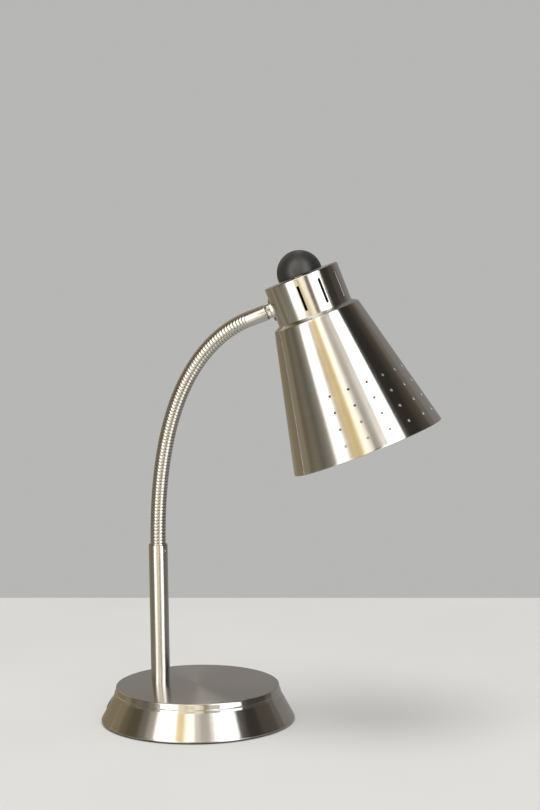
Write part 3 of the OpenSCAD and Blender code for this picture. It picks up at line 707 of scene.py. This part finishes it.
# ---------------------------------------------------------------- cap
CAP_R, CAP_H, WALL = 31.5, 32.6, 0.9
ARM_DROP = 18  # from the cap's top to the middle of the neck
BUSHING_HOLE_R, ARM_HOLE_R = 5.3, 5.05
VENTS, VENT_PITCH, VENT_LEN, VENT_W, VENT_DROP, VENT_CORNER = 6, 34, 21, 2.3, 6.5, 0.45
CUT_START, CUT_DEPTH = 20, 20  # cuts in the cap's side run from well inside it to well outside

cap = lathe("shade_cap_spun", [
    (0, 0), (CAP_R, 0, 1.0), (CAP_R, -CAP_H), (CAP_R - WALL, -CAP_H),
    (CAP_R - WALL, -WALL, 0.5), (0, -WALL),
], HEAD, [nickel, enamel], closed=False)
cutters = [prism(48, BUSHING_HOLE_R, -5, 5, Matrix.Identity(4))]
to_arm = Matrix.Translation((0, 0, -ARM_DROP)) @ Matrix.Rotation(-math.pi / 2, 4, "Y")
cutters.append(prism(48, ARM_HOLE_R, CUT_START, CUT_START + CUT_DEPTH, to_arm))
for i in range(VENTS):
    turn = math.radians((i - (VENTS - 1) / 2) * VENT_PITCH)
    middle = (CUT_START, 0, -VENT_DROP - VENT_LEN / 2)
    place = Matrix.Rotation(turn, 4, "Z") @ Matrix.Translation(middle)
    cutters.append(slot_block(VENT_W, VENT_LEN, CUT_DEPTH, VENT_CORNER, place))
cut(cap, cutters)
enamel_inside(cap, -2)
turned_normals(cap)
settle(cap, "head", "brushed_nickel", "shade_cap")


# ---------------------------------------------------------------- cone
SHOULDER_R, SHOULDER_Z = 36.7, -35.7
MOUTH_R, MOUTH_Z = 64.45, -150.6
SLOPE = (MOUTH_R - SHOULDER_R) / (SHOULDER_Z - MOUTH_Z)
SKIN = WALL * math.hypot(1, SLOPE)
RING_R = 19.1
HEM, HEM_TOP = 1.5, 2.2  # width and height of the rolled edge round the mouth
HOLE_R, HOLE_SIDES = 1.15, 24
HOLE_ROWS, HOLE_STEP, HOLE_FIRST = 4, 13.75, 97.4
HOLE_COLUMNS, HOLE_PITCH = 11, 18

cone = lathe("shade_cone_spun", [
    (RING_R, -CAP_H), (CAP_R + 0.2, -CAP_H, 0.3), (SHOULDER_R - 0.2, SHOULDER_Z + 0.35, 0.9),
    (SHOULDER_R + 2.0 * SLOPE, SHOULDER_Z - 2.0), (MOUTH_R - HEM_TOP * SLOPE, MOUTH_Z + HEM_TOP),
    (MOUTH_R, MOUTH_Z, 0.55), (MOUTH_R - HEM, MOUTH_Z, 0.5),
    (MOUTH_R - HEM - 1.8 * SLOPE, MOUTH_Z + 1.8, 0.4),
    (MOUTH_R - HEM_TOP * SLOPE - SKIN, MOUTH_Z + HEM_TOP, 0.2),
    (SHOULDER_R - SKIN, SHOULDER_Z - WALL, 0.8), (CAP_R - 0.4, -CAP_H - WALL, 0.3),
    (RING_R, -CAP_H - WALL),
], HEAD, [cone_nickel, enamel])
cutters = []
for row in range(HOLE_ROWS):
    z = -HOLE_FIRST - row * HOLE_STEP
    r = SHOULDER_R + (SHOULDER_Z - z) * SLOPE
    for i in range(HOLE_COLUMNS):
        turn = math.radians((i - (HOLE_COLUMNS - 1) / 2) * HOLE_PITCH)
        place = (Matrix.Rotation(turn, 4, "Z") @ Matrix.Translation((r, 0, z))
                 @ Matrix.Rotation(math.pi / 2 - math.atan(SLOPE), 4, "Y"))
        cutters.append(prism(HOLE_SIDES, HOLE_R, -3, 3, place))
cut(cone, cutters)
enamel_inside(cone, -140)
turned_normals(cone)
settle(cone, "head", "shade_nickel", "shade_cone")


# ---------------------------------------------------------------- lamp socket and bulb
SOCKET_R, BODY_TOP, SOCKET_MOUTH = 19, -10.0, -57.0
FLANGE_R, FLANGE_TOP = SOCKET_R + 3.5, -CAP_H + 3
RING_END = -CAP_H - WALL - 5.5
SKIRT_R, SHELL_R, SHELL_FLOOR = 16.6, 13.7, -33.0
CHAMBER_R, CHAMBER_FLOOR, CONTACT_R = 9.5, -24, 2
socket = lathe("socket_body_moulded", [
    (CHAMBER_R, BODY_TOP), (SOCKET_R, BODY_TOP, 0.8), (SOCKET_R, FLANGE_TOP, 0.3),
    (FLANGE_R, FLANGE_TOP, 0.4), (FLANGE_R, -CAP_H), (SOCKET_R, -CAP_H),
    (SOCKET_R, RING_END - 2, 0.8), (SKIRT_R, RING_END - 2, 0.6), (SKIRT_R, SOCKET_MOUTH, 0.7),
    (SHELL_R, SOCKET_MOUTH, 0.5), (SHELL_R, SHELL_FLOOR), (CONTACT_R, SHELL_FLOOR),
    (CONTACT_R, CHAMBER_FLOOR), (CHAMBER_R, CHAMBER_FLOOR),
], HEAD, [phenolic], segments=128)
turned_normals(socket)
settle(socket, "head", "black_plastic", "socket_body")


GRIP_R, GRIP_BORE_R = 24.5, 19.05
GRIPS, GRIP_POINTS, GRIP_DEPTH = 24, 8, 0.75


def grip_ring():
    """The clamping ring, with rounded finger grips moulded round its side."""
    top, low = -CAP_H - WALL, RING_END
    stations = [(GRIP_BORE_R, top), (24.0, top), (GRIP_R, top - 0.5), (GRIP_R, low + 1.0),
                (24.1, low + 0.35), (23.4, low), (20.0, low), (GRIP_BORE_R, low + 0.6)]

    def dip(k, r, z):
        wave = 0.5 - 0.5 * math.cos(2 * math.pi * (k % GRIP_POINTS) / GRIP_POINTS)
        return GRIP_DEPTH * wave ** 3 if r > 24.05 and z < top - 0.2 else 0

    ring = toothed_ring("socket_ring_moulded", stations, GRIPS * GRIP_POINTS, dip, HEAD, phenolic)
    ring.data.polygons.foreach_set("use_smooth", [True] * len(ring.data.polygons))
    ring.data.set_sharp_from_angle(angle=math.radians(40))
    return ring


settle(grip_ring(), "head", "black_plastic", "socket_ring")

BULB_R, BULB_NECK_R, BULB_WALL, BULB_MID = 30, 11.7, 0.8, -112.6
BOWL_END = 35  # degrees above the bulb's widest level, where its round bowl turns into the flank
SCREW_LOW, SCREW_TOP, SCREW_R = -59.0, -38.6, 12.65
THREAD_START, THREAD_LENGTH, THREAD_DEPTH = 2.9, 16.2, 0.3
THREAD_STEPS, THREAD_TURN_STEPS = 48, 8


def bulb_outline(shrink):
    """The pear outline from its tip to its neck: a round bowl, a straight flank and a flared neck."""
    neck = BULB_NECK_R - shrink
    bowl = arc(BULB_MID, BULB_R - shrink, -90, BOWL_END, 40)
    edge_r, edge_z = bowl[-1]
    foot = edge_z + (edge_r - neck) / math.tan(math.radians(BOWL_END))
    return bowl + [(neck, foot, 14), (neck, SCREW_LOW + 8)]


glass = lathe("bulb_glass_blown", bulb_outline(0) + bulb_outline(BULB_WALL)[::-1], HEAD,
              [bulb_glass], segments=128, closed=False)
turned_normals(glass)
settle(glass, "head", "bulb_glass", "bulb_glass")

def thread_point(k):
    wave = 0.5 - 0.5 * math.cos(2 * math.pi * k / THREAD_TURN_STEPS)
    return SCREW_R - THREAD_DEPTH * wave, SCREW_LOW + THREAD_START + k * THREAD_LENGTH / THREAD_STEPS


bulb_cap = lathe("bulb_cap_rolled", [
    (BULB_NECK_R + 0.05, SCREW_LOW), (SCREW_R, SCREW_LOW, 0.2), (SCREW_R, SCREW_LOW + THREAD_START),
    *[thread_point(k) for k in range(1, THREAD_STEPS + 1)],
    (SCREW_R - 0.6, SCREW_TOP, 0.5), (8, SCREW_TOP), (8, SCREW_TOP - 1.2),
    (BULB_NECK_R + 0.05, SCREW_TOP - 1.2),
], HEAD, [aluminium], segments=96)
turned_normals(bulb_cap)
settle(bulb_cap, "head", "bulb_aluminium", "bulb_cap")


# ---------------------------------------------------------------- knob
KNOB_R, KNOB_MID, KNOB_GAP = 18.6, 2.4, 0.6
KNOB_SKIRT_R, KNOB_HUB_R, KNOB_BORE_R = 16.0, 7, 3.05
HUB_LOW, HUB_ROOT, BORE_END = 3.4, 7.5, 13.5
GRUB_R, GRUB_Z = 1.6, 10.2
low_angle = math.degrees(math.asin((KNOB_GAP + 0.5 - KNOB_MID) / KNOB_R))
knob = lathe("switch_knob_moulded", [
    (KNOB_SKIRT_R, KNOB_GAP, 0.3), (18.3, KNOB_GAP, 0.4),
    *arc(KNOB_MID, KNOB_R, low_angle + 1.5, 89, 40), (0, KNOB_MID + KNOB_R), (0, BORE_END),
    (KNOB_BORE_R, BORE_END), (KNOB_BORE_R, HUB_LOW), (KNOB_HUB_R, HUB_LOW, 0.4),
    (KNOB_HUB_R, HUB_ROOT), (KNOB_SKIRT_R, HUB_ROOT, 0.5),
], HEAD, [knob_black], segments=160)
to_grub = Matrix.Translation((0, 0, GRUB_Z)) @ Matrix.Rotation(-math.pi / 2, 4, "X")
cut(knob, [prism(32, GRUB_R, 1, KNOB_R + 2, to_grub)])
turned_normals(knob)
settle(knob, "knob", "knob_black", "switch_knob")


# ---------------------------------------------------------------- floor, backdrop and lights
WALL_GREY = (0.475, 0.472, 0.462)
TABLE = (0.74, 0.735, 0.71)
AHEAD = Matrix.Rotation(CAMERA_TURN, 4, "Z")  # +Y away from the camera, as in the photograph


def add_floor():
    """A pale table top whose back edge lies a little under half a metre behind the lamp."""
    back, front, side, thick, skew = 0.47, -2.2, 1.6, 0.03, math.radians(-3.6)
    b = bmesh.new()
    bmesh.ops.create_cube(b, size=1)
    for v in b.verts:
        x, y, z = v.co
        v.co = Vector((x * 2 * side, front + (y + 0.5) * (back - front), (z - 0.5) * thick))
        v.co.y += v.co.x * math.tan(skew) if v.co.y > 0 else 0
    bmesh.ops.bevel(b, geom=b.edges[:], offset=0.004, segments=3, affect="EDGES")
    mesh = bpy.data.meshes.new("table")
    b.to_mesh(mesh)
    b.free()
    s = Shader("table_top", Specular_IOR_Level=0.2)
    cloud = s.noise(s.place(), 5.0, 5.0)
    s.set("Base Color", s.blend(s.spread(cloud, 0, 1), tuple(c * 0.975 for c in TABLE), TABLE))
    s.set("Roughness", s.spread(cloud, 0.6, 0.72))
    table = new_object("table", mesh, AHEAD, [s.material])
    table.visible_glossy = False


def add_world():
    """A plain grey wall for the camera, for gloss and for glass, and a dim room for everything else."""
    world = bpy.data.worlds.new("studio")
    scene.world = world
    world.use_nodes = True
    tree = world.node_tree
    tree.nodes.clear()
    out = tree.nodes.new("ShaderNodeOutputWorld")
    wall = tree.nodes.new("ShaderNodeBackground")
    room = tree.nodes.new("ShaderNodeBackground")
    mix = tree.nodes.new("ShaderNodeMixShader")
    path = tree.nodes.new("ShaderNodeLightPath")
    seen = tree.nodes.new("ShaderNodeMath")
    glassy = tree.nodes.new("ShaderNodeMath")
    seen.operation = glassy.operation = "MAXIMUM"
    wall.inputs["Color"].default_value = (*WALL_GREY, 1)
    room.inputs["Color"].default_value = (0.55, 0.55, 0.55, 1)
    tree.links.new(path.outputs["Is Camera Ray"], seen.inputs[0])
    tree.links.new(path.outputs["Is Glossy Ray"], seen.inputs[1])
    tree.links.new(seen.outputs[0], glassy.inputs[0])
    tree.links.new(path.outputs["Is Transmission Ray"], glassy.inputs[1])
    tree.links.new(glassy.outputs[0], mix.inputs[0])
    tree.links.new(room.outputs[0], mix.inputs[1])
    tree.links.new(wall.outputs[0], mix.inputs[2])
    tree.links.new(mix.outputs[0], out.inputs["Surface"])


# What the metal sees round it: bright cards and dark flags on a sphere, in rows from the table up.
# A row is its two elevations and its cards, each with the azimuth where it ends and its colour. Angles
# are in degrees as seen from the lamp. Azimuth 0 is the camera's side and grows to the right, and each
# card starts where the one before it ends.
WHITE = (2.4, 2.39, 2.35)
BACK = (0.25, 0.235, 0.22)
CARD_ROWS = (
    (-42, -8, (
        (-150, (0.29, 0.26, 0.19)), (-118, (0.26, 0.22, 0.145)), (-104, (0.31, 0.28, 0.21)),
        (-92, (0.22, 0.195, 0.14)), (-66, (0.31, 0.29, 0.235)), (-53, (0.33, 0.31, 0.26)),
        (-36, (1.1, 1.03, 0.94)), (-24, (1.25, 1.17, 1.02)), (-9, (0.89, 0.86, 0.69)),
        (14, (0.3, 0.28, 0.24)), (27, (0.62, 0.59, 0.54)), (55, (1.85, 1.76, 1.66)),
        (63, (0.46, 0.44, 0.41)), (182, (0.29, 0.28, 0.255)))),
    (-8, 12, (
        (-162, BACK), (-118, (0.25, 0.205, 0.13)), (-104, (0.29, 0.25, 0.18)),
        (-92, (0.18, 0.155, 0.105)), (-80, (0.22, 0.195, 0.145)), (-70, (0.16, 0.15, 0.125)),
        (-59, (0.24, 0.225, 0.19)), (-51, (0.4, 0.37, 0.32)), (-26, WHITE), (-16, (1.25, 1.17, 1.0)),
        (-3, (1.0, 0.87, 0.6)), (9, (1.42, 1.29, 0.98)), (19, (0.55, 0.46, 0.31)),
        (32, (0.42, 0.4, 0.34)), (63, WHITE), (72, (0.1, 0.095, 0.09)), (108, (0.05, 0.046, 0.042)),
        (124, (0.11, 0.1, 0.09)), (182, BACK))),
    (12, 33, (
        (-162, BACK), (-124, (0.42, 0.355, 0.27)), (-111, (0.26, 0.21, 0.125)),
        (-99, (0.16, 0.137, 0.083)), (-81, (0.115, 0.096, 0.058)), (-70, (0.22, 0.2, 0.18)),
        (-58, (0.5, 0.45, 0.39)), (-36, WHITE), (-30, (0.5, 0.4, 0.23)), (-13, (0.78, 0.55, 0.2)),
        (-5, (1.6, 1.54, 1.22)), (4, (1.35, 1.3, 1.15)), (15, (0.16, 0.12, 0.07)),
        (18, (0.9, 0.87, 0.82)), (54, WHITE), (62, (0.1, 0.097, 0.092)), (88, (0.055, 0.047, 0.041)),
        (104, (0.1, 0.086, 0.07)), (116, (0.105, 0.09, 0.075)), (130, (0.19, 0.168, 0.145)),
        (182, BACK))),
    (33, 74, (
        (-134, (0.36, 0.31, 0.25)), (-110, (0.25, 0.205, 0.125)), (-80, (0.125, 0.105, 0.062)),
        (-70, (0.23, 0.21, 0.185)), (-59, (0.6, 0.53, 0.45)), (-30, WHITE), (-19, (1.25, 0.98, 0.48)),
        (-4, (1.9, 1.9, 1.75)), (25, (0.76, 0.715, 0.64)), (58, WHITE), (66, (0.1, 0.1, 0.095)),
        (98, (0.036, 0.031, 0.028)), (110, (0.06, 0.052, 0.043)), (122, (0.1, 0.082, 0.066)),
        (134, (0.18, 0.16, 0.145)), (176, (0.24, 0.225, 0.21)), (182, (1.3, 1.28, 1.24)))),
)
CARD_START = -178
CARD_DISTANCE = 3.4
CARD_STEP = 5  # degrees from one edge loop to the next


def degree_steps(start, end):
    """Angles in radians from start to end, which are in degrees, no more than CARD_STEP apart."""
    count = max(1, math.ceil((end - start) / CARD_STEP))
    return [math.radians(start + (end - start) * k / count) for k in range(count + 1)]


def add_cards():
    """One glowing mesh of all the cards, which only reflections see."""
    verts, faces, glow = [], [], []
    for low, high, cards in CARD_ROWS:
        rises = degree_steps(low, high)
        start = CARD_START
        for end, colour in cards:
            turns = degree_steps(start, end)
            first = len(verts)
            for turn in turns:
                for rise in rises:
                    way = Vector((math.sin(turn) * math.cos(rise), -math.cos(turn) * math.cos(rise),
                                  math.sin(rise)))
                    verts.append(way * CARD_DISTANCE)
            for i in range(len(turns) - 1):
                for k in range(len(rises) - 1):
                    a = first + i * len(rises) + k
                    faces.append((a, a + len(rises), a + len(rises) + 1, a + 1))
                    glow += [(*colour, 1)] * 4
            start = end
    mesh = bpy.data.meshes.new("light_cards")
    mesh.from_pydata(verts, [], faces)
    attribute = mesh.color_attributes.new("glow", "FLOAT_COLOR", "CORNER")
    attribute.data.foreach_set("color", [c for colour in glow for c in colour])
    material = bpy.data.materials.new("card_light")
    material.use_nodes = True
    tree = material.node_tree
    tree.nodes.clear()
    colour = tree.nodes.new("ShaderNodeAttribute")
    colour.attribute_name = "glow"
    light = tree.nodes.new("ShaderNodeEmission")
    out = tree.nodes.new("ShaderNodeOutputMaterial")
    tree.links.new(colour.outputs["Color"], light.inputs["Color"])
    tree.links.new(light.outputs[0], out.inputs["Surface"])
    cards = new_object("light_cards", mesh, AHEAD, [material])
    cards.visible_camera = False
    cards.visible_diffuse = False
    cards.visible_transmission = False
    cards.visible_shadow = False


def add_lamp(name, place, target, size, power):
    light = bpy.data.lights.new(name, "AREA")
    light.shape = "DISK"
    light.size = size
    light.energy = power
    made = bpy.data.objects.new(name, light)
    at = AHEAD @ Vector(place)
    made.matrix_world = (Matrix.Translation(at)
                         @ (Vector(target) - at).to_track_quat("-Z", "Y").to_matrix().to_4x4())
    made.visible_camera = False
    made.visible_glossy = False
    scene.collection.objects.link(made)


add_floor()
add_world()
add_cards()
add_lamp("overhead", (0.0, -0.5, 2.6), (0.0, 0.0, 0.0), 1.8, 37)
